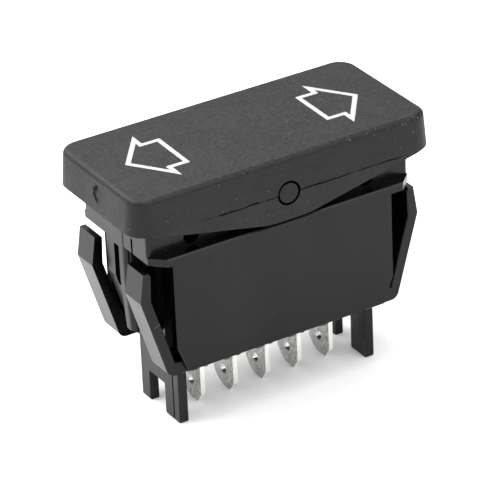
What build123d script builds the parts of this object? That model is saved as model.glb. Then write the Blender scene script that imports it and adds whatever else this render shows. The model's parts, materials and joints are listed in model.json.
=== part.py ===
from build123d import *
import os
from math import cos, pi, radians, sin, tan

# Momentary rocker switch for a car's power windows, with five blade terminals.
# Millimetres. +X runs along the rocker, +Z is up, Y = 0 is the middle of the housing
# and Z = 0 is the plane under the four feet.

# ---------------------------------------------------------------- driving dimensions
# Heights: the housing hangs from its panel seat, and the rocker stands over it
seat_z = 31.7  # underside of the flange, which lies on the panel
rim_height = 6.5  # from the seat up to the cap's lower rim
cap_height = 6.0
body_depth = 20.7  # from the seat down to the bottom of the end walls
base_depth = 1.3  # from there down to the underside of the base's floor
rim_z = seat_z + rim_height  # the rocker turns about a Y axis at this height
cap_top_z = rim_z + cap_height
body_bottom_z = seat_z - body_depth
base_floor_z = body_bottom_z - base_depth

# Rocker cap
cap_length = 54.8  # at the rim; the sides lean in by the draft above it
cap_width = 25.8
cap_draft = 4.5  # degrees
cap_corner_radius = 3.6
cap_edge_radius = 0.9
cap_wall = 1.6
cap_roof = 1.8
skirt_half_length = 25.5  # the shallow V below the rim, on both long sides
skirt_drop = 4.6
skirt_flat_half = 3.6
skirt_bend_radius = 14.0
skirt_inset = 0.12  # the skirts stand back a little from the cap's sides
swing = 7.0  # degrees either way

# Housing
end_gap = 1.8  # between the cap's end walls and the collar inside them
side_gap = 1.5  # between the cap's long walls and the collar
rim_gap = 1.2  # from the collar's top up to the cap's rim
collar_length = cap_length - 2 * cap_wall - 2 * end_gap
collar_width = cap_width - 2 * cap_wall - 2 * side_gap
collar_top_z = rim_z - rim_gap
collar_corner_radius = 0.5
collar_wall = 1.5
flange_width = 24.2
flange_chamfer = 2.4
flange_thickness = 1.3
plate_width = 22.0  # over the two long side plates
plate_length = 40.4
plate_rise = 0.5  # the plates end this far above the end walls
plate_bottom_z = body_bottom_z + plate_rise
plate_chamfer = (1.8, 4.7)
side_wall = 1.5
end_wall_length = 37.0  # over the two end walls, between the snap legs
edge_break = 0.15  # small bevel round the side plates, legs and feet

# Snap legs: four cantilevers that rise from a U bend at the bottom of the end walls
leg_inner_y = 5.2
leg_outer_y = 10.1
leg_barb = 1.75  # a leg's bend stands this far past the collar's end
leg_head_lean = 0.75  # from the bend back to the tip
leg_head_height = 4.9
panel_room = 1.3  # from the seat down to the legs' tips, for a panel 1.2 thick
leg_foot_reach = 3.0  # from the end wall out to the foot of the leg
leg_gap_rise = 2.3  # the gap behind a leg ends this far above the end walls' bottom
leg_bend_x = collar_length / 2 + leg_barb
leg_tip_x = leg_bend_x - leg_head_lean
leg_foot_x = end_wall_length / 2 + leg_foot_reach
leg_tip_z = seat_z - panel_room
leg_bend_z = leg_tip_z - leg_head_height
leg_gap_z = body_bottom_z + leg_gap_rise
leg_thickness = 1.9
leg_tip_thickness = 1.35
leg_tip_radius = 0.5
leg_bend_radius = 1.5
leg_relief = 0.1  # the flange is set back over the legs, so the seat is its two long strips

# Terminals: 6.3 x 0.8 blades in one row
blade_width = 6.3
blade_thickness = 0.8
blade_pitch = 6.1
blade_tip_z = 0.1
blade_hole = 1.8
blade_hole_z = 3.1
row_y = -0.95  # the row and the mechanism above it lie a little to the front

# Terminal base
base_front_y = -7.3
base_back_y = 4.6
foot_thickness = 1.55
web_thickness = 0.7
web_depth = 4.3  # of the webs between the feet, below the floor
web_z = base_floor_z - web_depth

# Mechanism
pivot_diameter = 3.5
pivot_clearance = 0.2
plunger_x = blade_pitch  # each plunger stands over one of the two motor terminals
knife_height = 10.0  # of the knife edges that the contact arms rock on, over the end walls' bottom
knife_z = body_bottom_z + knife_height
knife_radius = 0.15
arm_thickness = 0.6
arm_rise = 6.0  # degrees
arm_half_length = blade_pitch - 0.7
arm_ratio = 1.4  # degrees an arm turns for each degree of the rocker
contact_lever = blade_pitch - 1.6
contact_offset_y = 1.6

# Clearances
running = 0.05
slot_clearance = 0.02
contact_gap = 0.09  # left between closed contacts at the end of the swing

# ---------------------------------------------------------------- shared helpers
both_sides = (-1, 1)


def save(piece, label):
    """Labels one finished piece and writes it."""
    piece.label = label
    export_step(piece, "parts/" + label + ".step")


def long_side(side, distance):
    """Plane of a long side, facing out along Y, with Z up its page."""
    return Plane((0, side * distance, 0), x_dir=(-side, 0, 0), z_dir=(0, side, 0))


def short_end(side, distance):
    """Plane of a short end, facing out along X, with Z up its page."""
    return Plane((side * distance, 0, 0), x_dir=(0, side, 0), z_dir=(side, 0, 0))


os.makedirs("parts", exist_ok=True)

# ---------------------------------------------------------------- rocker cap
# One hollow moulding: a rounded slab with thin leaning walls, a V skirt on each long side with
# the hole for the pivot boss, and two spring sockets that hang from the roof.
roof_z = cap_top_z - cap_roof
socket_outer = 6.4
socket_bore = 4.4
socket_depth = 10.7  # the sockets hang this far below the rim
socket_bottom_z = rim_z - socket_depth
rib_thickness = 1.2
rib_depth = 1.8
rib_length = cap_length - 3 * cap_wall
cross_rib_length = collar_width - 2 * collar_wall - 1.0  # clear of the housing's pivot ears
roof_bite = 0.2  # how far ribs and sockets run into the roof
socket_places = [(-plunger_x, row_y), (plunger_x, row_y)]

with BuildPart() as skirts:
    with BuildSketch(Plane.XY.offset(rim_z)):
        RectangleRounded(
            cap_length - 2 * skirt_inset,
            cap_width - 2 * skirt_inset,
            cap_corner_radius - skirt_inset,
        )
        Rectangle(cap_length - 2 * cap_wall, cap_width - 2 * cap_wall, mode=Mode.SUBTRACT)
    extrude(amount=-skirt_drop)
    with BuildSketch(Plane.XZ) as skirt_profile:
        with BuildLine():
            Polyline(
                (-skirt_half_length, rim_z),
                (-skirt_flat_half, rim_z - skirt_drop),
                (skirt_flat_half, rim_z - skirt_drop),
                (skirt_half_length, rim_z),
                close=True,
            )
        make_face()
        fillet(skirt_profile.vertices().group_by(Axis.Y)[0], skirt_bend_radius)
    extrude(amount=cap_width, both=True, mode=Mode.INTERSECT)

with BuildPart() as rocker_cap:
    with BuildSketch(Plane.XY.offset(rim_z)):
        RectangleRounded(cap_length, cap_width, cap_corner_radius)
    extrude(amount=cap_top_z - rim_z, taper=cap_draft)
    fillet(rocker_cap.faces().sort_by(Axis.Z)[-1].edges(), cap_edge_radius)
    with BuildSketch(Plane.XY.offset(rim_z)):
        RectangleRounded(
            cap_length - 2 * cap_wall, cap_width - 2 * cap_wall, cap_corner_radius - cap_wall
        )
    extrude(amount=roof_z - rim_z, taper=cap_draft, mode=Mode.SUBTRACT)
    add(skirts.part)
    with BuildSketch(Plane.XZ):
        with Locations((0, rim_z)):
            Circle(pivot_diameter / 2 + pivot_clearance)
    extrude(amount=cap_width, both=True, mode=Mode.SUBTRACT)
    # spring sockets, a lengthwise rib through both and a cross rib over the pivot
    with BuildSketch(Plane.XY.offset(roof_z + roof_bite)):
        with Locations((0, row_y)):
            Rectangle(rib_length, rib_thickness)
        Rectangle(rib_thickness, cross_rib_length)
    extrude(amount=-rib_depth - roof_bite)
    with BuildSketch(Plane.XY.offset(socket_bottom_z)):
        with Locations(*socket_places):
            Circle(socket_outer / 2)
    extrude(amount=roof_z + roof_bite - socket_bottom_z)
    with BuildSketch(Plane.XY.offset(socket_bottom_z)):
        with Locations(*socket_places):
            Circle(socket_bore / 2)
    extrude(amount=roof_z - socket_bottom_z, mode=Mode.SUBTRACT)

save(rocker_cap.part, "rocker_cap")

# ---------------------------------------------------------------- housing shell
# One moulding, open at the bottom: collar, octagonal flange, two long side plates, two end
# walls with a slotted column and its key, and the four snap legs.
flange_top_z = seat_z + flange_thickness
flange_bevel = 0.25
inner_half_length = end_wall_length / 2 - side_wall
inner_half_width = plate_width / 2 - side_wall
overlap = 0.2  # how far joined features run into each other
column_half_width = 3.0
column_x = collar_length / 2 + 0.1  # its face stands just proud of the collar's end
column_top_z = collar_top_z - 1.4
column_bend_z = leg_bend_z - 0.1  # below here the face leans in as the legs do
column_bottom_z = body_bottom_z + 5.5
column_root_z = column_bottom_z - 2.0
column_slot = 1.5
column_slot_y = -0.15
column_slot_top_z = seat_z - 0.4
column_slot_bottom_z = column_bend_z - 1.7
column_slot_depth = 4.2
key_lean = 0.6  # the key in front of the slot stays nearly upright
key_radius = 1.0
slit_width = 0.55
slit_height = 2.8
slit_y = -5.0
slit_z = flange_top_z
window_diameter = 2.8
window_x = 16.1
window_z = flange_top_z + 1.6
snap_window = (4.4, 2.4)  # across Y and up
snap_window_z = body_bottom_z + 2.6
ear_radius = 3.6
shoulder_radius = 3.5
shoulder_gap = 0.5  # left between the shoulders and the skirts
shoulder_reach = side_gap - shoulder_gap
boss_end_gap = 0.15  # the bosses end just inside the cap's sides

flange_corners = [
    (-collar_length / 2, -collar_width / 2),
    (-collar_length / 2 + flange_chamfer, -flange_width / 2),
    (collar_length / 2 - flange_chamfer, -flange_width / 2),
    (collar_length / 2, -collar_width / 2),
    (collar_length / 2, collar_width / 2),
    (collar_length / 2 - flange_chamfer, flange_width / 2),
    (-collar_length / 2 + flange_chamfer, flange_width / 2),
    (-collar_length / 2, collar_width / 2),
]
plate_corners = [
    (-plate_length / 2, seat_z + overlap),
    (-plate_length / 2, plate_bottom_z + plate_chamfer[1]),
    (-plate_length / 2 + plate_chamfer[0], plate_bottom_z),
    (plate_length / 2 - plate_chamfer[0], plate_bottom_z),
    (plate_length / 2, plate_bottom_z + plate_chamfer[1]),
    (plate_length / 2, seat_z + overlap),
]
leg_lean = (leg_bend_x - leg_foot_x) / (leg_bend_z - body_bottom_z)
column_corners = [
    (inner_half_length, column_top_z),
    (column_x, column_top_z),
    (column_x, column_bend_z),
    (column_x - leg_lean * (column_bend_z - column_bottom_z), column_bottom_z),
    (inner_half_length, column_root_z),
]
key_corners = [
    (inner_half_length, column_bend_z),
    (column_x, column_bend_z),
    (column_x - key_lean, column_bottom_z),
    (inner_half_length, column_bottom_z),
]


def leg_outline(side):
    """Corners of a snap leg in X and Z, from its foot round the U bend to its barbed head."""
    gap_x = leg_foot_x + leg_lean * (leg_gap_z - body_bottom_z) - leg_thickness
    corners = (
        (inner_half_length + overlap, body_bottom_z),
        (leg_foot_x, body_bottom_z),
        (leg_bend_x, leg_bend_z),
        (leg_tip_x, leg_tip_z),
        (leg_tip_x - leg_tip_thickness, leg_tip_z),
        (leg_bend_x - leg_thickness, leg_bend_z),
        (gap_x, leg_gap_z),
        (inner_half_length + overlap, leg_gap_z),
    )
    return [(side * x, z) for x, z in corners]


with BuildPart() as end_column:
    with BuildSketch(Plane.XZ):
        with BuildLine():
            Polyline(*column_corners, close=True)
        make_face()
    extrude(amount=column_half_width, both=True)
    with BuildSketch(Plane.XZ.offset(column_half_width)):
        with BuildLine():
            Polyline(*key_corners, close=True)
        make_face()
    extrude(amount=column_slot / 2 - column_slot_y - column_half_width)
    front_edges = end_column.edges().group_by(Axis.Y)[0]
    fillet(front_edges.sort_by(Axis.X)[-2:], key_radius)
    with BuildSketch(short_end(1, column_x)):
        with Locations((column_slot_y, (column_slot_top_z + column_slot_bottom_z) / 2)):
            Rectangle(column_slot, column_slot_top_z - column_slot_bottom_z)
    extrude(amount=-column_slot_depth, mode=Mode.SUBTRACT)

with BuildPart() as housing_shell:
    # flange and collar
    with BuildSketch(Plane.XY.offset(seat_z)):
        with BuildLine():
            Polyline(*flange_corners, close=True)
        make_face()
    extrude(amount=flange_thickness)
    flange_rim = housing_shell.edges().filter_by(Axis.X).group_by(Axis.Z)[-1]
    chamfer(flange_rim, flange_bevel)
    with BuildSketch(Plane.XY.offset(seat_z)):
        RectangleRounded(collar_length, collar_width, collar_corner_radius)
    extrude(amount=collar_top_z - seat_z)
    with BuildSketch(Plane.XY.offset(seat_z)):
        Rectangle(collar_length, 2 * leg_outer_y + 2 * overlap)
    extrude(amount=leg_relief, mode=Mode.SUBTRACT)
    # end walls and side plates
    with BuildSketch(Plane.XY.offset(body_bottom_z)):
        Rectangle(end_wall_length, 2 * inner_half_width + overlap)
    extrude(amount=seat_z + overlap - body_bottom_z)
    for side in both_sides:
        with BuildSketch(long_side(side, plate_width / 2 - edge_break)) as plate:
            with BuildLine():
                Polyline(*plate_corners, close=True)
            make_face()
        extrude(amount=edge_break - side_wall)
        extrude(plate.sketch, amount=edge_break, taper=45)
    # slotted column in the middle of each end
    add(end_column.part)
    mirror(end_column.part, about=Plane.YZ)
    # snap legs
    for end in both_sides:
        for side in both_sides:
            with BuildSketch(long_side(side, leg_outer_y - edge_break)) as leg:
                with BuildLine():
                    Polyline(*leg_outline(end), close=True)
                make_face()
                foot_corner = (end * leg_foot_x, body_bottom_z)
                fillet(leg.vertices().sort_by_distance(foot_corner)[0], leg_bend_radius)
                head_corner = (end * (leg_tip_x - leg_tip_thickness), leg_tip_z)
                fillet(leg.vertices().sort_by_distance(head_corner)[0], leg_tip_radius)
            extrude(amount=leg_inner_y - leg_outer_y + edge_break)
            extrude(leg.sketch, amount=edge_break, taper=45)
    # room inside
    with BuildSketch(Plane.XY.offset(body_bottom_z)):
        Rectangle(2 * inner_half_length, 2 * inner_half_width)
    extrude(amount=seat_z - side_wall - body_bottom_z, mode=Mode.SUBTRACT)
    with BuildSketch(Plane.XY.offset(seat_z - side_wall)):
        Rectangle(2 * inner_half_length, collar_width - 2 * collar_wall)
    extrude(amount=side_wall + flange_thickness, mode=Mode.SUBTRACT)
    with BuildSketch(Plane.XY.offset(flange_top_z)):
        Rectangle(collar_length - 2 * collar_wall, collar_width - 2 * collar_wall)
    extrude(amount=collar_top_z - flange_top_z, mode=Mode.SUBTRACT)
    # pivot ears, each with a shoulder and a boss
    for side in both_sides:
        with BuildSketch(long_side(side, collar_width / 2)):
            with Locations((0, rim_z)):
                Circle(ear_radius)
            with Locations((0, (rim_z + flange_top_z) / 2)):
                Rectangle(2 * ear_radius, rim_z - flange_top_z)
        extrude(amount=-collar_wall)
        with BuildSketch(long_side(side, collar_width / 2 - overlap)):
            with Locations((0, rim_z)):
                Circle(shoulder_radius)
        extrude(amount=overlap + shoulder_reach)
        with BuildSketch(long_side(side, collar_width / 2)):
            with Locations((0, rim_z)):
                Circle(pivot_diameter / 2)
        extrude(amount=(cap_width - collar_width) / 2 - boss_end_gap)
    # openings: collar windows, end slits and the windows for the base's snap lugs
    with BuildSketch(Plane.XZ):
        with Locations((-window_x, window_z), (window_x, window_z)):
            Circle(window_diameter / 2)
    extrude(amount=collar_width / 2 + overlap, both=True, mode=Mode.SUBTRACT)
    for side in both_sides:
        with BuildSketch(short_end(side, collar_length / 2)):
            with Locations((side * slit_y, slit_z)):
                Rectangle(slit_width, slit_height)
        extrude(amount=-collar_wall, mode=Mode.SUBTRACT)
    with BuildSketch(Plane.YZ):
        with Locations((0, snap_window_z)):
            Rectangle(*snap_window)
    extrude(amount=column_x, both=True, mode=Mode.SUBTRACT)

save(housing_shell.part, "housing_shell")

# ---------------------------------------------------------------- terminal base
# The moulding that closes the housing from below: a tray that slides into the shell, a floor
# with a boss round every blade, and two end walls that go down as four feet.
tray_clearance = 0.08
tray_length = 2 * (inner_half_length - tray_clearance)
tray_width = 2 * (inner_half_width - tray_clearance)
tray_top_z = body_bottom_z + 5.4
tray_wall = 1.3
skirting_inset = 1.7  # the tray's foot stands back from its sides
floor_top_z = base_floor_z + 2.5
tower_top_z = floor_top_z + 2.8
tower_size = (blade_thickness + 1.4, blade_width + 1.3)
boss_bottom_z = base_floor_z - 3.4
boss_size = (blade_thickness + 2.2, blade_width - 1.3)
front_foot_y = -2.8
back_foot_y = 1.9
front_toe_radius = 0.35
back_toe_radius = 0.8
groove_y = -5.55
groove_width = 0.35
groove_top_z = base_floor_z - 1.3
lug_reach = 0.9
lug_half_height = 1.0
lug_half_width = snap_window[0] / 2 - 0.2
slot_width = blade_thickness + 2 * slot_clearance
slot_length = blade_width + 2 * slot_clearance
blade_columns = [blade_pitch * step for step in range(-2, 3)]
blade_places = [(x, row_y) for x in blade_columns]
end_face_x = end_wall_length / 2
base_mid_y = (base_front_y + base_back_y) / 2

foot_corners = [
    (base_front_y, body_bottom_z),
    (base_front_y, 0),
    (front_foot_y, 0),
    (front_foot_y, web_z),
    (back_foot_y, web_z),
    (back_foot_y, 0),
    (base_back_y, 0),
    (base_back_y, body_bottom_z),
]
lug_corners = [
    (tray_length / 2 - overlap, snap_window_z - lug_half_height),
    (tray_length / 2 + lug_reach, snap_window_z - lug_half_height),
    (tray_length / 2 - overlap, snap_window_z + lug_half_height),
]

with BuildPart() as terminal_base:
    with BuildSketch(Plane.XY.offset(base_floor_z)):
        with Locations((0, base_mid_y)):
            Rectangle(end_wall_length - 2 * edge_break, base_back_y - base_front_y)
    extrude(amount=body_bottom_z - base_floor_z)
    with BuildSketch(Plane.XY.offset(base_floor_z + overlap)):
        Rectangle(tray_length, tray_width - 2 * skirting_inset)
    extrude(amount=floor_top_z - base_floor_z - overlap)
    with BuildSketch(Plane.XY.offset(plate_bottom_z)):
        Rectangle(tray_length, tray_width)
    extrude(amount=tray_top_z - plate_bottom_z)
    with BuildSketch(Plane.XY.offset(floor_top_z)):
        Rectangle(tray_length - 2 * tray_wall, tray_width - 2 * tray_wall)
    extrude(amount=tray_top_z - floor_top_z, mode=Mode.SUBTRACT)
    # towers above the floor and bosses below it, round every blade
    with BuildSketch(Plane.XY.offset(base_floor_z)):
        with Locations(*blade_places):
            Rectangle(*tower_size)
    extrude(amount=tower_top_z - base_floor_z)
    with BuildSketch(Plane.XY.offset(boss_bottom_z)):
        with Locations(*blade_places):
            Rectangle(*boss_size)
    extrude(amount=base_floor_z + overlap - boss_bottom_z)
    for side in both_sides:
        # end wall and its two feet
        with BuildSketch(short_end(side, end_face_x - edge_break)) as end_wall:
            with BuildLine():
                Polyline(*[(side * y, z) for y, z in foot_corners], close=True)
            make_face()
            toes = end_wall.vertices().group_by(Axis.Y)[0].sort_by(Axis.X)
            if side < 0:
                toes = toes[::-1]
            fillet(toes[:2], front_toe_radius)
            fillet(toes[2:], back_toe_radius)
        extrude(amount=edge_break - foot_thickness)
        extrude(end_wall.sketch, amount=edge_break, taper=45)
        # the web between the feet is thinner than they are
        with BuildSketch(short_end(side, end_face_x - foot_thickness)):
            with Locations((side * (front_foot_y + back_foot_y) / 2, (web_z + base_floor_z) / 2)):
                Rectangle(back_foot_y - front_foot_y, base_floor_z - web_z)
        extrude(amount=foot_thickness - web_thickness, mode=Mode.SUBTRACT)
        with BuildSketch(short_end(side, end_face_x)):
            with Locations((side * groove_y, groove_top_z / 2)):
                Rectangle(groove_width, groove_top_z)
        extrude(amount=-groove_width, mode=Mode.SUBTRACT)
        # snap lug on the tray's end
        with BuildSketch(Plane.XZ):
            with BuildLine():
                Polyline(*[(side * x, z) for x, z in lug_corners], close=True)
            make_face()
        extrude(amount=lug_half_width, both=True)
    # blade slots
    with BuildSketch(Plane.XY.offset(boss_bottom_z)):
        with Locations(*blade_places):
            Rectangle(slot_width, slot_length)
    extrude(amount=tower_top_z - boss_bottom_z, mode=Mode.SUBTRACT)

save(terminal_base.part, "terminal_base")

# ---------------------------------------------------------------- blade terminals
# Stamped and bent brass strips. The outer two and the middle one end in flat contact seats,
# the other two in a rounded knife edge between two prongs.
half_blade = blade_width / 2
half_thickness = blade_thickness / 2
shoulder_half = half_blade + 0.5
shoulder_top_z = tower_top_z + 1.4
stem_half = 2.0
button_height = 0.6
button_radius = 1.0
arm_flat = 1.2
contact_rise = (contact_lever - arm_flat) * tan(radians(arm_rise))
contact_fall = contact_lever * sin(radians(swing * arm_ratio))
seat_top_z = knife_z + contact_rise - 2 * button_height - contact_fall - contact_gap
knife_axis_z = knife_z - slot_clearance - knife_radius
knife_shoulder = knife_radius * cos(radians(45))
knife_root_z = knife_axis_z + 2 * knife_shoulder - half_thickness
prong_bottom_z = knife_z - 3.2
prong_top_z = knife_z + 1.5
prong_inner = 2.1
prong_outer = 3.0
tab_front = (1.2, 1.6)  # bevel of the tab's front corner, across and up
tab_nose = [(half_blade, 2.9), (1.95, 0.85), (0.1, 0)]  # round of its back corner, over the tip
seat_bend = 0.75


def nose_points():
    """Start, middle and end of the arc round the tab's back corner, in Y and Z."""
    return [(row_y + y, blade_tip_z + z) for y, z in tab_nose]


def blade_corners(top):
    """Corners in Y and Z of a strip, up its front, over its top and down its back."""
    corners = [
        (tab_front[0] - half_blade, blade_tip_z),
        (-half_blade, blade_tip_z + tab_front[1]),
        (-half_blade, tower_top_z),
        (-shoulder_half, tower_top_z),
        (-shoulder_half, shoulder_top_z),
        *top,
        (shoulder_half, shoulder_top_z),
        (shoulder_half, tower_top_z),
        (half_blade, tower_top_z),
    ]
    return [(row_y + y, z) for y, z in corners]


def seat_corners(x, side):
    """Corners in X and Z of a strip that bends over to one side into a contact seat."""
    corners = (
        (-half_thickness, shoulder_top_z - overlap),
        (half_thickness, shoulder_top_z - overlap),
        (half_thickness, seat_top_z - blade_thickness),
        (seat_reach, seat_top_z - blade_thickness),
        (seat_reach, seat_top_z),
        (-half_thickness, seat_top_z),
    )
    return [(x + side * dx, z) for dx, z in corners]


# each terminal's column, and its seats as (side, first Y, last Y)
seat_reach = 2.9
seat_gap = 0.1
first_x, second_x, middle_x, fourth_x, last_x = blade_columns
middle_seats = [
    (-1, -half_blade, -seat_gap),
    (1, seat_gap, half_blade),
]
seat_tables = [
    ("terminal_1_ground", first_x, [(1, -stem_half, stem_half)]),
    ("terminal_3_supply", middle_x, middle_seats),
    ("terminal_5_ground", last_x, [(-1, -stem_half, stem_half)]),
]

for name, x, seats in seat_tables:
    with BuildPart() as terminal:
        with BuildSketch(Plane.YZ.offset(x - half_thickness)):
            with BuildLine():
                nose = ThreePointArc(*nose_points())
                Polyline(nose @ 1, *blade_corners([]), nose @ 0)
            make_face()
            with Locations((row_y, blade_tip_z + blade_hole_z)):
                Circle(blade_hole / 2, mode=Mode.SUBTRACT)
        extrude(amount=blade_thickness)
        for side, first_y, last_y in seats:
            with BuildSketch(Plane.XZ.offset(-row_y - first_y)) as seat:
                with BuildLine():
                    Polyline(*seat_corners(x, side), close=True)
                make_face()
                bend_corner = (x - side * half_thickness, seat_top_z)
                fillet(seat.vertices().sort_by_distance(bend_corner)[0], seat_bend)
            extrude(amount=first_y - last_y)
    save(terminal.part, name)

knife_top = [
    (-stem_half, shoulder_top_z),
    (-stem_half, prong_bottom_z),
    (-prong_outer, prong_bottom_z),
    (-prong_outer, prong_top_z),
    (-prong_inner, prong_top_z),
    (-prong_inner, knife_root_z),
    (prong_inner, knife_root_z),
    (prong_inner, prong_top_z),
    (prong_outer, prong_top_z),
    (prong_outer, prong_bottom_z),
    (stem_half, prong_bottom_z),
    (stem_half, shoulder_top_z),
]

for name, x in (("terminal_2_motor", second_x), ("terminal_4_motor", fourth_x)):
    with BuildPart() as terminal:
        with BuildSketch(Plane.YZ.offset(x - half_thickness)):
            with BuildLine():
                nose = ThreePointArc(*nose_points())
                Polyline(nose @ 1, *blade_corners(knife_top), nose @ 0)
            make_face()
            with Locations((row_y, blade_tip_z + blade_hole_z)):
                Circle(blade_hole / 2, mode=Mode.SUBTRACT)
        extrude(amount=blade_thickness)
        # the knife edge between the prongs, with its rounded crest
        with BuildSketch(Plane.XZ.offset(-row_y)):
            with BuildLine():
                Polyline(
                    (x - half_thickness, knife_root_z),
                    (x + half_thickness, knife_root_z),
                    (x + knife_shoulder, knife_axis_z + knife_shoulder),
                    (x - knife_shoulder, knife_axis_z + knife_shoulder),
                    close=True,
                )
            make_face()
            with Locations((x, knife_axis_z)):
                Circle(knife_radius)
        extrude(amount=prong_inner, both=True)
    save(terminal.part, name)

# ---------------------------------------------------------------- contact arms
# Two copper see-saws. Each rocks on its knife edge, is held by the prongs in its side notches
# and carries a contact under each end.
arm_width = 6.0
notch_half = 1.0
arm_end_rise = (arm_half_length - arm_flat) * tan(radians(arm_rise))
arm_profile = [
    (-arm_half_length, arm_end_rise),
    (-arm_flat, 0),
    (arm_flat, 0),
    (arm_half_length, arm_end_rise),
    (arm_half_length, arm_end_rise + arm_thickness),
    (arm_flat, arm_thickness),
    (-arm_flat, arm_thickness),
    (-arm_half_length, arm_end_rise + arm_thickness),
]

for name, x in (("contact_arm_left", -plunger_x), ("contact_arm_right", plunger_x)):
    with BuildPart() as arm:
        with BuildSketch(Plane.XZ.offset(-row_y)):
            with BuildLine():
                Polyline(*[(x + dx, knife_z + dz) for dx, dz in arm_profile], close=True)
            make_face()
        extrude(amount=arm_width / 2, both=True)
        # notches for the prongs
        with BuildSketch(Plane.XY.offset(knife_z)):
            with Locations((x, row_y - arm_width / 2), (x, row_y + arm_width / 2)):
                Rectangle(2 * notch_half, arm_width - 2 * prong_inner + 2 * running)
        extrude(amount=arm_end_rise + 2 * arm_thickness, mode=Mode.SUBTRACT)
    save(arm.part, name)

# ---------------------------------------------------------------- contact buttons
# Silver buttons welded to the seats and, face to face with them, under the arms' ends.
contact_places = [
    (kind, end, side, side * (plunger_x + reach), row_y + side * y)
    for side, end in ((-1, "left"), (1, "right"))
    for kind, reach, y in (("supply", -contact_lever, contact_offset_y), ("ground", contact_lever, 0))
]

for kind, end, side, x, y in contact_places:
    with BuildPart() as fixed_contact:
        with BuildSketch(Plane((x, y, seat_top_z))):
            Circle(button_radius)
        extrude(amount=button_height)
    save(fixed_contact.part, f"fixed_contact_{kind}_{end}")
    # the moving contacts stand square to the sloping ends of their arm
    slope = radians(arm_rise) * side * (1 if kind == "ground" else -1)
    square = Plane((x, y, knife_z + contact_rise), z_dir=(sin(slope), 0, -cos(slope)))
    with BuildPart() as moving_contact:
        with BuildSketch(square):
            Circle(button_radius)
        extrude(amount=button_height)
    save(moving_contact.part, f"moving_contact_{kind}_{end}")

# ---------------------------------------------------------------- plungers and springs
# Two sprung plungers slide in the cap's sockets. Each has a deep bore for its spring and a
# blunt nose, turned in bevels, that rides in the saddle of its contact arm.
barrel_radius = socket_bore / 2 - running
nose_radius = 1.3
nose_length = 2.78
nose_z = knife_z + arm_thickness + slot_clearance
barrel_bottom_z = nose_z + nose_length
barrel_top_z = socket_bottom_z + 4.5
barrel_bevel = 0.4
spring_seat_z = barrel_bottom_z + 1.6
spring_bore = 1.75
wire_radius = 0.22
coil_radius = 1.4
coil_count = 7
coil_steps = 9  # straight lengths in each turn of the wire
spring_height = roof_z - spring_seat_z - 2 * wire_radius
nose_bevels = [radians(angle) for angle in (25, 45, 65, 90)]
plunger_profile = [
    (0, nose_z),
    *[(nose_radius * sin(a), nose_z + nose_radius * (1 - cos(a))) for a in nose_bevels],
    (nose_radius, barrel_bottom_z),
    (barrel_radius, barrel_bottom_z + barrel_bevel),
    (barrel_radius, barrel_top_z),
    (spring_bore, barrel_top_z),
    (spring_bore, spring_seat_z),
    (0, spring_seat_z),
]

for name, x in (("left", -plunger_x), ("right", plunger_x)):
    with BuildPart() as plunger:
        with BuildSketch(Plane.XZ.offset(-row_y)):
            with BuildLine():
                Polyline(*[(x + dx, z) for dx, z in plunger_profile], close=True)
            make_face()
        revolve(axis=Axis((x, row_y, 0), (0, 0, 1)))
    save(plunger.part, "plunger_" + name)

    coil_points = []
    for step in range(coil_count * coil_steps + 1):
        turn = step / coil_steps
        coil_points.append(
            (
                x + coil_radius * cos(2 * pi * turn),
                row_y + coil_radius * sin(2 * pi * turn),
                spring_seat_z + wire_radius + spring_height * turn / coil_count,
            )
        )
    with BuildPart() as spring:
        with BuildLine():
            coil = Polyline(*coil_points)
        with BuildSketch(Plane(coil @ 0, z_dir=coil % 0)):
            RegularPolygon(wire_radius, 6)
        sweep(transition=Transition.RIGHT)
    save(spring.part, "plunger_spring_" + name)
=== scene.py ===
import json
from math import cos, pi, radians, sin

import bmesh
import bpy
from mathutils import Matrix, Vector


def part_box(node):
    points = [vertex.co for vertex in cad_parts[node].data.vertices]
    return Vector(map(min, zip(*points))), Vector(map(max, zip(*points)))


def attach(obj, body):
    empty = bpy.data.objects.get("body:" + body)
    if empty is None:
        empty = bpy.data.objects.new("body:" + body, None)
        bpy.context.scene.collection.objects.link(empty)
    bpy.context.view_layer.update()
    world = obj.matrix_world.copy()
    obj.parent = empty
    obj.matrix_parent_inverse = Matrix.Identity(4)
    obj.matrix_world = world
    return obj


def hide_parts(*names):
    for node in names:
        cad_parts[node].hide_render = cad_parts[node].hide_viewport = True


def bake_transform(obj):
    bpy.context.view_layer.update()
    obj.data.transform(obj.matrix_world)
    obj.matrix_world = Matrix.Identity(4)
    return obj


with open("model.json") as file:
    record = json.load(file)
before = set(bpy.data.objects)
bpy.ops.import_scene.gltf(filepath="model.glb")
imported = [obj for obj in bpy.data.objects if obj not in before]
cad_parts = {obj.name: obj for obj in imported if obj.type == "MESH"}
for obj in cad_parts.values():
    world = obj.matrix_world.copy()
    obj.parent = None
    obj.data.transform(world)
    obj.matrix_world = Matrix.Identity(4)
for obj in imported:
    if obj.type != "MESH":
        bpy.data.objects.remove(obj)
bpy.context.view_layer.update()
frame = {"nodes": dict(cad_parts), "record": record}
MM = 0.001

# ---------------------------------------------------------------- node helpers
NOISE_LOW, NOISE_HIGH = 0.3, 0.7  # nearly all of a noise lies between these


def new_material(name):
    """A material with an empty node tree, its shader and its output."""
    material = bpy.data.materials.new(name)
    material.use_nodes = True
    tree = material.node_tree
    tree.nodes.clear()
    output = tree.nodes.new("ShaderNodeOutputMaterial")
    shader = tree.nodes.new("ShaderNodeBsdfPrincipled")
    tree.links.new(shader.outputs["BSDF"], output.inputs["Surface"])
    return material, tree, shader


def coordinates(tree, stretch=(1, 1, 1)):
    """The piece's own coordinates in metres, scaled along its axes."""
    source = tree.nodes.new("ShaderNodeTexCoord")
    mapping = tree.nodes.new("ShaderNodeMapping")
    mapping.inputs["Scale"].default_value = stretch
    tree.links.new(source.outputs["Object"], mapping.inputs["Vector"])
    return mapping.outputs["Vector"]


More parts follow.
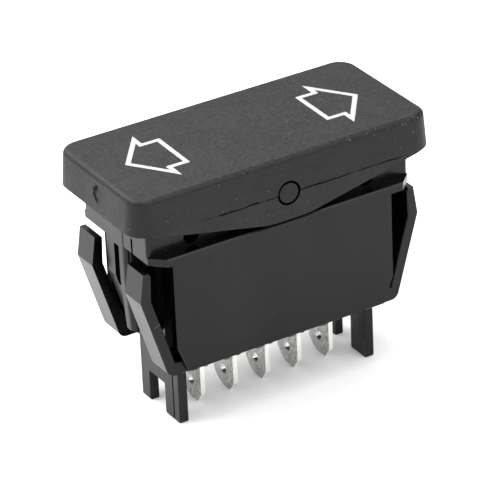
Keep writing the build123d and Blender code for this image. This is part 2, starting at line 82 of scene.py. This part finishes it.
def facing(tree):
    """The way the piece's own surface faces."""
    return tree.nodes.new("ShaderNodeTexCoord").outputs["Normal"]


def noise(tree, vector, size, detail, roughness=0.5):
    """Noise whose blotches are about size metres across."""
    node = tree.nodes.new("ShaderNodeTexNoise")
    node.inputs["Scale"].default_value = 1 / size
    node.inputs["Detail"].default_value = detail
    node.inputs["Roughness"].default_value = roughness
    tree.links.new(vector, node.inputs["Vector"])
    return node.outputs["Fac"]


def ramp(tree, value, dark, light, low=NOISE_LOW, high=NOISE_HIGH):
    """A colour that goes from dark to light as value goes from low to high."""
    node = tree.nodes.new("ShaderNodeValToRGB")
    ends = zip(node.color_ramp.elements, (low, high), (dark, light))
    for element, position, colour in ends:
        element.position = position
        element.color = (*colour, 1)
    tree.links.new(value, node.inputs["Fac"])
    return node.outputs["Color"]


def span(tree, value, low, high, to_low, to_high):
    """Maps value from one range onto another, clamped."""
    node = tree.nodes.new("ShaderNodeMapRange")
    for socket, number in zip(
        ("From Min", "From Max", "To Min", "To Max"), (low, high, to_low, to_high)
    ):
        node.inputs[socket].default_value = number
    tree.links.new(value, node.inputs["Value"])
    return node.outputs["Result"]


def vary(tree, field, to_low, to_high):
    """Spreads a noise over to_low to to_high."""
    return span(tree, field, NOISE_LOW, NOISE_HIGH, to_low, to_high)


def mix(tree, factor, first, second):
    """Blends two colour outputs, or constants, by factor."""
    node = tree.nodes.new("ShaderNodeMix")
    node.data_type = "RGBA"
    tree.links.new(factor, node.inputs["Factor"])
    for socket, value in ((node.inputs[6], first), (node.inputs[7], second)):
        if isinstance(value, tuple):
            socket.default_value = (*value, 1)
        else:
            tree.links.new(value, socket)
    return node.outputs[2]


def axes(tree, vector):
    """The X, Y and Z of a vector output."""
    node = tree.nodes.new("ShaderNodeSeparateXYZ")
    tree.links.new(vector, node.inputs["Vector"])
    return node.outputs["X"], node.outputs["Y"], node.outputs["Z"]


def calc(tree, operation, *values):
    """One step of arithmetic on outputs or numbers."""
    node = tree.nodes.new("ShaderNodeMath")
    node.operation = operation
    for socket, value in zip(node.inputs, values):
        if isinstance(value, (int, float)):
            socket.default_value = value
        else:
            tree.links.new(value, socket)
    return node.outputs["Value"]


def product(tree, *values):
    """All the values multiplied together."""
    total = values[0]
    for value in values[1:]:
        total = calc(tree, "MULTIPLY", total, value)
    return total


def sum_of_squares(tree, first, second):
    """The square of a distance whose two legs are first and second."""
    return calc(
        tree, "ADD", product(tree, first, first), product(tree, second, second)
    )


def band(tree, value, centre, half, soft):
    """1 within half of centre, fading to 0 over soft."""
    away = calc(tree, "ABSOLUTE", calc(tree, "SUBTRACT", value, centre))
    return span(tree, away, half, half + soft, 1, 0)


def bump(tree, shader, *layers):
    """Stacks bump layers of (height output, depth in metres) on a shader."""
    last = None
    for height, depth in layers:
        node = tree.nodes.new("ShaderNodeBump")
        node.inputs["Distance"].default_value = depth
        tree.links.new(height, node.inputs["Height"])
        if last is not None:
            tree.links.new(last, node.inputs["Normal"])
        last = node.outputs["Normal"]
    tree.links.new(last, shader.inputs["Normal"])


def coat(tree, shader, colour, roughness):
    """Links a colour and a roughness to a shader."""
    tree.links.new(colour, shader.inputs["Base Color"])
    tree.links.new(roughness, shader.inputs["Roughness"])


# ---------------------------------------------------------------- materials
JOINTS = {joint["name"]: joint for joint in frame["record"]["behaviour"]["joints"]}
PIVOT_Z = JOINTS["rocker_tilt"]["pos_m"][2]
INNER_Y, OUTER_Y = 11.0 * MM, 11.2 * MM  # marks on the long sides fade in between
PIVOT_GAP_RADIUS = 1.93 * MM
BOSS_RIM_RADIUS = 1.76 * MM
PARTING_WANDER = 0.10 * MM
SCAR_Y, SCAR_Z = -0.85 * MM, 41.3 * MM
SCAR_HALF_WIDTH, SCAR_HALF_HEIGHT = 1.3 * MM, 1.5 * MM
SCAR_RAGGED = 0.22  # in shares of the scar's own half size, squared
WITNESS_SLOPE = 0.395
SPECK_SIZE = 0.42 * MM
SPECK_EDGE = 0.02  # how soft a speck's edge is, as a share of the noise
CAP_LINT = 0.775  # above this share of the noise there is lint on the cap
# Along the top front edge the threshold is lower, so grey specks lie denser there.
EDGE_SPECKS = 0.715  # and above this on its top front edge
HOUSING_DUST = 0.79
METAL_UNEVEN = 0.12  # how much a metal's roughness varies


def grey(value):
    """A neutral colour."""
    return (value, value, value)


def black_shade_and_marks(tree, shader, colour, roughness, marks, specular):
    """Coats a plastic; where the mask is 1 it is black and reflects nothing: painted
    shade in gaps, seams and wells, and on the cap also the gate's scar.
    """
    rough = calc(tree, "MAXIMUM", roughness, marks)
    coat(tree, shader, mix(tree, marks, colour, grey(0)), rough)
    tree.links.new(marks, shader.inputs["Metallic"])
    shader.inputs["Specular IOR Level"].default_value = specular


def outside(tree, y):
    """1 on the outside of the two long sides, 0 between them."""
    return span(tree, calc(tree, "ABSOLUTE", y), INNER_Y, OUTER_Y, 0, 1)


def pivot_ring(tree, here, radius, half, soft):
    """A ring round the pivot on both long sides, used to paint shade into the gap
    there.
    """
    x, y, z = axes(tree, here)
    rise = calc(tree, "SUBTRACT", z, PIVOT_Z)
    distance = calc(tree, "SQRT", sum_of_squares(tree, x, rise))
    return product(tree, band(tree, distance, radius, half, soft), outside(tree, y))


def parting_line_shade(tree, here):
    """Painted shade along the parting line at the pivot's height: it wanders, breaks
    and stops at the corners.
    """
    x, y, z = axes(tree, here)
    rise = calc(tree, "SUBTRACT", z, PIVOT_Z)
    field = noise(tree, here, size=2.2 * MM, detail=4)
    wander = vary(tree, field, -PARTING_WANDER, PARTING_WANDER)
    level = calc(tree, "SUBTRACT", rise, wander)
    line = band(tree, level, centre=0, half=0.09 * MM, soft=0.10 * MM)
    gaps = noise(tree, here, size=3.4 * MM, detail=5)
    broken = span(tree, gaps, 0.38, 0.52, 0.15, 1)
    reach = band(tree, x, centre=3 * MM, half=17 * MM, soft=2.5 * MM)
    return product(tree, line, broken, reach, outside(tree, y))


def gate_scar(tree, here):
    """An uneven hook in the middle of the left end, open to the front."""
    x, y, z = axes(tree, here)
    across = calc(tree, "DIVIDE", calc(tree, "SUBTRACT", y, SCAR_Y), SCAR_HALF_WIDTH)
    upward = calc(tree, "DIVIDE", calc(tree, "SUBTRACT", z, SCAR_Z), SCAR_HALF_HEIGHT)
    field = noise(tree, here, size=0.7 * MM, detail=2)
    ragged = vary(tree, field, -SCAR_RAGGED, SCAR_RAGGED)
    from_middle = calc(tree, "ADD", sum_of_squares(tree, across, upward), ragged)
    hook = band(tree, from_middle, centre=0.60, half=0.42, soft=0.25)
    closed = span(tree, across, -0.5, 0.1, 0.3, 0.8)
    on_end = span(tree, x, -26.6 * MM, -26.4 * MM, 1, 0)
    return product(tree, hook, closed, on_end)


def shade_lines_and_gate_scar(tree, here):
    """Where the cap is black: painted shade in the pivot's gap and along the parting
    line, and the gate's scar.
    """
    # Painted shade: the pivot's gap on the cap is painted black.
    gap = pivot_ring(tree, here, PIVOT_GAP_RADIUS, half=0.10 * MM, soft=0.08 * MM)
    # Painted shade along the parting line is joined to the gap's.
    sides = calc(tree, "MAXIMUM", gap, parting_line_shade(tree, here))
    return calc(tree, "MAXIMUM", sides, gate_scar(tree, here))


def dust(tree, here, threshold):
    """Lint and dust as small specks; a lower threshold makes more of them."""
    field = noise(tree, here, SPECK_SIZE, detail=1)
    return span(tree, calc(tree, "SUBTRACT", field, threshold), 0, SPECK_EDGE, 0, 1)


def top_front_edge(tree, here):
    """The cap's top front edge, fainter towards the left end."""
    x, y, z = axes(tree, here)
    forward = band(tree, y, centre=-12.15 * MM, half=0.25 * MM, soft=0.35 * MM)
    upward = band(tree, z, centre=43.75 * MM, half=0.3 * MM, soft=0.3 * MM)
    rightward = span(tree, x, -4 * MM, 14 * MM, 0.35, 1)
    return product(tree, forward, upward, rightward)


def rocker_plastic():
    """Charcoal cap: spark-eroded texture; a stronger mottle painted on its top as
    sheen; painted shade in the pivot's gap and along the parting line; the gate's
    scar; lint specks, with more grey specks along its top front edge.
    """
    material, tree, shader = new_material("rocker_plastic")
    here = coordinates(tree)
    cloud = noise(tree, here, size=9 * MM, detail=4)
    mottle = noise(tree, here, size=0.5 * MM, detail=4, roughness=0.7)
    grain = noise(tree, here, size=0.28 * MM, detail=2)
    plain_mottle = ramp(tree, mottle, grey(0.003), grey(0.009))
    # Painted sheen: the top gets a mottle of stronger contrast, standing in for how
    # its reflection shows the texture.
    top_painted_sheen = ramp(tree, mottle, grey(0), grey(0.017), low=0.35, high=0.65)
    upward = axes(tree, facing(tree))[2]
    tone = mix(tree, span(tree, upward, 0.6, 0.9, 0, 1), plain_mottle, top_painted_sheen)
    # More grey specks along the top front edge, fewer towards its left end.
    threshold = span(tree, top_front_edge(tree, here), 0, 1, CAP_LINT, EDGE_SPECKS)
    colour = mix(tree, dust(tree, here, threshold), tone, grey(0.13))
    rough = vary(tree, cloud, 0.48, 0.58)
    # Painted shade in the pivot's gap and along the parting line, with the gate's
    # scar, all turned black.
    marks = shade_lines_and_gate_scar(tree, here)
    black_shade_and_marks(tree, shader, colour, rough, marks, specular=0.28)
    bump(tree, shader, (cloud, 0.04 * MM), (mottle, 0.04 * MM), (grain, 0.06 * MM))
    return material


def leg_well_shade(tree, here):
    """Painted shade in the deep wells behind the snap legs: end walls and the side
    plates' ends.
    """
    x, y, z = axes(tree, here)
    from_middle = calc(tree, "ABSOLUTE", x)
    along = band(tree, from_middle, centre=19.15 * MM, half=1.15 * MM, soft=0.02 * MM)
    off_axis = calc(tree, "ABSOLUTE", y)
    across = band(tree, off_axis, centre=7.4 * MM, half=3.4 * MM, soft=0.06 * MM)
    upward = band(tree, z, centre=22.4 * MM, half=9.0 * MM, soft=0.2 * MM)
    return product(tree, along, across, upward)


def witness(tree, here):
    """A fine raised line left by the mould on the side of the front left leg."""
    x, y, z = axes(tree, here)
    slant = calc(tree, "SUBTRACT", z, product(tree, x, WITNESS_SLOPE))
    line = band(tree, slant, centre=30.02 * MM, half=0.05 * MM, soft=0.05 * MM)
    reach = band(tree, x, centre=-23.0 * MM, half=0.7 * MM, soft=0.1 * MM)
    front = span(tree, y, -10.0 * MM, -9.9 * MM, 1, 0)
    return product(tree, line, reach, front)


def housing_plastic():
    """Satin black nylon: faint flow marks, a little dust, and painted shade: black at
    the pivot bosses' gaps and in the leg wells.
    """
    material, tree, shader = new_material("housing_plastic")
    here = coordinates(tree)
    flow = noise(tree, coordinates(tree, (1, 1, 0.35)), size=7 * MM, detail=4)
    grain = noise(tree, here, size=0.4 * MM, detail=3)
    # Painted shade: the gap at the pivot boss is painted black on the housing.
    boss_gap_shade = pivot_ring(tree, here, BOSS_RIM_RADIUS, half=0.05 * MM, soft=0.06 * MM)
    # Painted shade: the leg wells are made black and reflect nothing.
    marks = calc(tree, "MAXIMUM", boss_gap_shade, leg_well_shade(tree, here))
    ridge = witness(tree, here)
    tone = ramp(tree, flow, grey(0.0015), grey(0.0045))
    colour = mix(tree, dust(tree, here, HOUSING_DUST), tone, grey(0.07))
    colour = mix(tree, ridge, colour, grey(0.06))
    rough = vary(tree, flow, 0.20, 0.28)
    black_shade_and_marks(tree, shader, colour, rough, marks, specular=0.22)
    bump(tree, shader, (flow, 0.04 * MM), (grain, 0.008 * MM), (ridge, 0.06 * MM))
    return material


def tin_plate():
    """Tin on brass strip: dull mottled faces with rolling lines; the cut edges, turned
    along Y, painted near white, partly as bare cut metal and partly as a painted
    reflection of the bright floor.
    """
    material, tree, shader = new_material("tin_plate")
    here = coordinates(tree)
    lines = noise(tree, coordinates(tree, (1, 1, 0.04)), size=0.12 * MM, detail=3)
    cloud = noise(tree, here, size=0.55 * MM, detail=5, roughness=0.65)
    sideways = calc(tree, "ABSOLUTE", axes(tree, facing(tree))[1])
    # Painted reflection: faces turned along Y, the cut edges, are painted near white,
    # partly bare cut metal and partly the bright floor they mirror.
    cut_edge_glint = span(tree, sideways, 0.55, 0.75, 0, 1)
    face = ramp(
        tree, cloud, (0.28, 0.28, 0.27), (0.62, 0.61, 0.59), low=0.34, high=0.66
    )
    edge = ramp(tree, cloud, (0.88, 0.87, 0.85), (0.98, 0.97, 0.95))
    coat(tree, shader, mix(tree, cut_edge_glint, face, edge), vary(tree, cloud, 0.38, 0.24))
    shader.inputs["Metallic"].default_value = 1
    bump(tree, shader, (lines, 0.010 * MM), (cloud, 0.03 * MM))
    return material


def metal(name, dark, light, rough, grain_size):
    """A plain metal with fine grain, for the contacts, arms and springs."""
    material, tree, shader = new_material(name)
    grain = noise(tree, coordinates(tree), grain_size, detail=4)
    uneven = vary(tree, grain, rough, rough + METAL_UNEVEN)
    coat(tree, shader, ramp(tree, grain, dark, light), uneven)
    shader.inputs["Metallic"].default_value = 1
    bump(tree, shader, (grain, 0.01 * MM))
    return material


def natural_nylon():
    """Cream nylon of the plungers."""
    material, tree, shader = new_material("plunger_nylon")
    cloud = noise(tree, coordinates(tree), size=1.2 * MM, detail=3)
    cream = ramp(tree, cloud, (0.70, 0.67, 0.58), (0.78, 0.75, 0.67))
    coat(tree, shader, cream, vary(tree, cloud, 0.3, 0.4))
    bump(tree, shader, (cloud, 0.01 * MM))
    return material


def arrow_paint():
    """White pad print, slightly thin where it sits on the texture."""
    material, tree, shader = new_material("arrow_paint")
    grain = noise(tree, coordinates(tree), size=0.28 * MM, detail=2)
    white = ramp(tree, grain, grey(0.34), grey(0.39), high=0.6)
    coat(tree, shader, white, vary(tree, grain, 0.5, 0.6))
    bump(tree, shader, (grain, 0.02 * MM))
    return material


def floor_paper():
    """White sweep of paper with a barely visible tooth."""
    material, tree, shader = new_material("floor_paper")
    tooth = noise(tree, coordinates(tree), size=0.6 * MM, detail=3)
    white = ramp(tree, tooth, grey(0.90), grey(0.93))
    tree.links.new(white, shader.inputs["Base Color"])
    shader.inputs["Roughness"].default_value = 0.9
    shader.inputs["Specular IOR Level"].default_value = 0.1
    bump(tree, shader, (tooth, 0.01 * MM))
    return material


SLOTS = {
    "rocker_plastic": rocker_plastic(),
    "housing_plastic": housing_plastic(),
    "tin_plate": tin_plate(),
    "contact_silver": metal(
        "contact_silver", grey(0.70), grey(0.85), rough=0.25, grain_size=0.4 * MM
    ),
    "copper_strip": metal(
        "copper_strip",
        (0.62, 0.32, 0.17),
        (0.75, 0.42, 0.25),
        rough=0.28,
        grain_size=0.5 * MM,
    ),
    "spring_steel": metal(
        "spring_steel", grey(0.42), grey(0.55), rough=0.3, grain_size=0.3 * MM
    ),
    "plunger_nylon": natural_nylon(),
}
for part in frame["record"]["subparts"]:
    node = frame["nodes"][part["node"]]
    node.data.materials.clear()
    node.data.materials.append(SLOTS[part["material_slot"]])

# ---------------------------------------------------------------- arrows on the cap
CAP_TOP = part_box("rocker_cap")[1].z
STROKE = 0.8 * MM
ARROW_TIP = 20.72 * MM
ARROW_NECK = 15.95 * MM
ARROW_TAIL = 12.83 * MM
HEAD_HALF = 6.65 * MM
SHAFT_HALF = 4.48 * MM
INK = 0.03 * MM
INK_SUNK = 0.005 * MM  # how much of the ink's thickness is below the cap's top
CORNER = 0.22 * MM  # the ink's corners are slightly round
CORNER_STEPS = 4
PRINT_SHIFT = Vector((-0.25 * MM, -0.20 * MM))  # the print sits a little askew
PRINT_TURN = radians(-1.0)
PAINT = arrow_paint()


def arrow_outline():
    """Middle line of an arrow's outline, pointing along +X."""
    upper = [
        (ARROW_TIP, 0),
        (ARROW_NECK, HEAD_HALF),
        (ARROW_NECK, SHAFT_HALF),
        (ARROW_TAIL, SHAFT_HALF),
    ]
    lower = [(x, -y) for x, y in reversed(upper[1:])]
    return [Vector(point) for point in upper + lower]


def offset_loop(points, distance):
    """The closed loop moved sideways by distance, with mitred corners."""
    moved = []
    count = len(points)
    for i, here in enumerate(points):
        before = (here - points[i - 1]).normalized()
        after = (points[(i + 1) % count] - here).normalized()
        normal = Vector((-before.y, before.x))
        bisector = (normal + Vector((-after.y, after.x))).normalized()
        moved.append(here + bisector * distance / bisector.dot(normal))
    return moved


def soften(points):
    """The loop with each corner cut back and rounded by a short curve."""
    soft = []
    for i, corner in enumerate(points):
        start = corner + (points[i - 1] - corner).normalized() * CORNER
        end = corner + (points[(i + 1) % len(points)] - corner).normalized() * CORNER
        for step in range(CORNER_STEPS + 1):
            t = step / CORNER_STEPS
            soft.append(start * (1 - t) ** 2 + corner * 2 * t * (1 - t) + end * t * t)
    return soft


def printed_arrow(name, side):
    """A thin white band along the outline, standing just proud of the cap's top."""
    middle = arrow_outline()
    inner = soften(offset_loop(middle, STROKE / 2))
    outer = soften(offset_loop(middle, -STROKE / 2))
    turn = Matrix.Rotation(PRINT_TURN, 2)
    mesh = bmesh.new()
    rings = []
    for loop, height in ((inner, 0), (inner, INK), (outer, INK), (outer, 0)):
        z = CAP_TOP - INK_SUNK + height
        placed = [turn @ (side * point) + PRINT_SHIFT for point in loop]
        rings.append([mesh.verts.new((point.x, point.y, z)) for point in placed])
    count = len(inner)
    for near, far in zip(rings, rings[1:] + rings[:1]):
        for i in range(count):
            j = (i + 1) % count
            mesh.faces.new((near[i], near[j], far[j], far[i]))
    bmesh.ops.recalc_face_normals(mesh, faces=mesh.faces)
    data = bpy.data.meshes.new(name)
    mesh.to_mesh(data)
    mesh.free()
    data.materials.append(PAINT)
    arrow = bpy.data.objects.new(name, data)
    bpy.context.scene.collection.objects.link(arrow)
    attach(arrow, "rocker")


printed_arrow("arrow_right", 1)
printed_arrow("arrow_left", -1)

# ---------------------------------------------------------------- springs


def coil_spring(side):
    """The spring between the cap and a plunger, as a copy of its solid, which is
    hidden.
    """
    solid = "plunger_spring_" + side
    mesh = frame["nodes"][solid].data.copy()
    spring = bpy.data.objects.new("coil_spring_" + side, mesh)
    bpy.context.scene.collection.objects.link(spring)
    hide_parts(solid)
    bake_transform(spring)


coil_spring("left")
coil_spring("right")

# ---------------------------------------------------------------- floor, light, camera
scene = bpy.context.scene
scene.view_settings.view_transform = "Standard"
scene.view_settings.look = "None"
FLOOR_HALF = 3.0
MIDDLE = (0, 0, 0.022)  # what the lights are turned towards


def paper_floor():
    """A wide plain floor under the feet."""
    mesh = bpy.data.meshes.new("floor")
    half = FLOOR_HALF
    corners = [(-half, -half, 0), (half, -half, 0), (half, half, 0), (-half, half, 0)]
    mesh.from_pydata(corners, [], [(0, 1, 2, 3)])
    mesh.materials.append(floor_paper())
    floor = bpy.data.objects.new("floor", mesh)
    scene.collection.objects.link(floor)


def soft_box(name, place, size, radiance):
    """A rectangular studio light, as bright as radiance all over."""
    light = bpy.data.lights.new(name, "AREA")
    light.shape = "RECTANGLE"
    light.size, light.size_y = size
    light.energy = radiance * pi * size[0] * size[1]
    lamp = bpy.data.objects.new(name, light)
    lamp.location = place
    direction = Vector(MIDDLE) - Vector(place)
    lamp.rotation_euler = direction.to_track_quat("-Z", "Y").to_euler()
    scene.collection.objects.link(lamp)


def pale_world(strength):
    """Even white surround."""
    world = bpy.data.worlds.new("surround")
    world.use_nodes = True
    background = world.node_tree.nodes["Background"]
    background.inputs["Color"].default_value = (1, 1, 1, 1)
    background.inputs["Strength"].default_value = strength
    scene.world = world


def studio_camera(azimuth, elevation, roll, distance, aim, lens):
    """Camera on a sphere round aim; azimuth 0 looks along +Y."""
    a, e, r = radians(azimuth), radians(elevation), radians(roll)
    back = Vector((sin(a) * cos(e), -cos(a) * cos(e), sin(e)))
    right = Vector((cos(a), sin(a), 0))
    up = back.cross(right)
    turned_right = right * cos(r) + up * sin(r)
    turned_up = up * cos(r) - right * sin(r)
    place = Vector(aim) + back * distance
    camera = bpy.data.objects.new("camera", bpy.data.cameras.new("camera"))
    camera.data.lens = lens
    camera.data.clip_start = 0.01
    camera.matrix_world = Matrix.Translation(place) @ Matrix(
        (turned_right, turned_up, back)
    ).transposed().to_4x4()
    scene.collection.objects.link(camera)
    scene.camera = camera


paper_floor()
pale_world(strength=0.30)
soft_box("back_box", place=(0.71, 1.21, 0.79), size=(1.6, 1.1), radiance=0.95)
soft_box("left_box", place=(-0.15, 0.19, 0.36), size=(0.50, 0.50), radiance=5.3)
soft_box("front_box", place=(0.08, -0.56, 0.78), size=(1.1, 1.1), radiance=3.3)
studio_camera(
    azimuth=-30.58,
    elevation=28.76,
    roll=-2.53,
    distance=0.5395,
    aim=(0.00035, 0.00046, 0.0221),
    lens=242.7,
)
